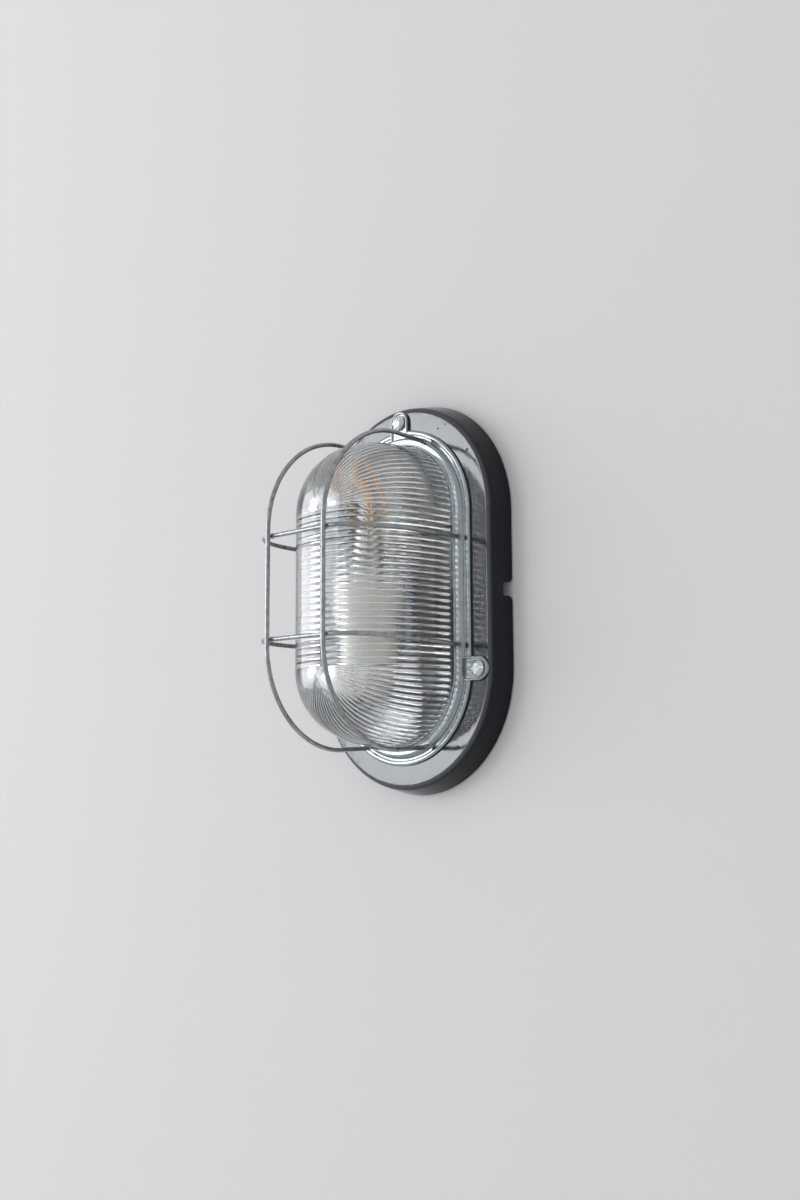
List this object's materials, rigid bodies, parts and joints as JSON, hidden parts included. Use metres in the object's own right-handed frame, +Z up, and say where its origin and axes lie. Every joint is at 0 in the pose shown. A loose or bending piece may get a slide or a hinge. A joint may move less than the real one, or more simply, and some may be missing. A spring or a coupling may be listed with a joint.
{
  "type": "bulkhead light",
  "caption": "Oval bulkhead wall light: black glazed porcelain base, ribbed clear glass dome, galvanised clamping ring with ears and a welded wire guard, screw lampholder with a filament bulb.",
  "frame": {"origin": "centre of the base's flat back, on the wall's plane", "axes": "+Z up along the oval's length, +Y into the wall, +X to the right seen from the front"},
  "size_m": [0.1608, 0.1112, 0.26],
  "materials": {
    "black_glaze": "glossy black glaze over porcelain",
    "dome_glass": "clear pressed glass with ribs on its inner face",
    "bulb_glass": "thin clear blown glass",
    "galvanised": "bright galvanised pressed steel",
    "cage_wire": "dull galvanised steel wire",
    "zinc": "zinc plated",
    "rubber": "matt black",
    "white_porcelain": "white glazed porcelain",
    "brass": "bright",
    "lead_brown": "brown insulation",
    "lead_blue": "blue insulation",
    "black_insulator": "black fused glass",
    "filament": "amber coated filament rods"
  },
  "bodies": {
    "root": {"base": "black_glaze", "gasket": "rubber", "glass": "dome_glass", "ring": "galvanised", "cage_wire_left": "cage_wire", "cage_wire_right": "cage_wire", "cage_hoop_upper": "cage_wire", "cage_hoop_lower": "cage_wire", "ring_top_screw": "zinc", "ring_top_nut": "zinc", "ring_lower_left_screw": "zinc", "ring_lower_left_nut": "zinc", "ring_lower_right_screw": "zinc", "ring_lower_right_nut": "zinc", "lampholder_body": "white_porcelain", "lampholder_shell": "brass", "lampholder_centre_contact": "brass", "lampholder_bracket": "zinc", "bracket_left_screw": "zinc", "bracket_left_nut": "zinc", "bracket_right_screw": "zinc", "bracket_right_nut": "zinc", "lampholder_left_screw": "zinc", "lampholder_right_screw": "zinc", "bulb_glass": "bulb_glass", "bulb_cap": "zinc", "bulb_insulator": "black_insulator", "bulb_tip": "brass", "bulb_stem": "bulb_glass", "filament_spider": "zinc", "filament_1": "filament", "filament_2": "filament", "filament_3": "filament", "filament_4": "filament", "terminal_block": "white_porcelain", "terminal_tube_left": "brass", "terminal_tube_right": "brass", "clamp_screw_left_lower": "zinc", "clamp_screw_left_upper": "zinc", "clamp_screw_right_lower": "zinc", "clamp_screw_right_upper": "zinc", "block_screw": "zinc", "block_nut": "zinc", "lead_left": "lead_brown", "lead_right": "lead_blue", "cable_grommet": "rubber"}
  },
  "joints": []
}
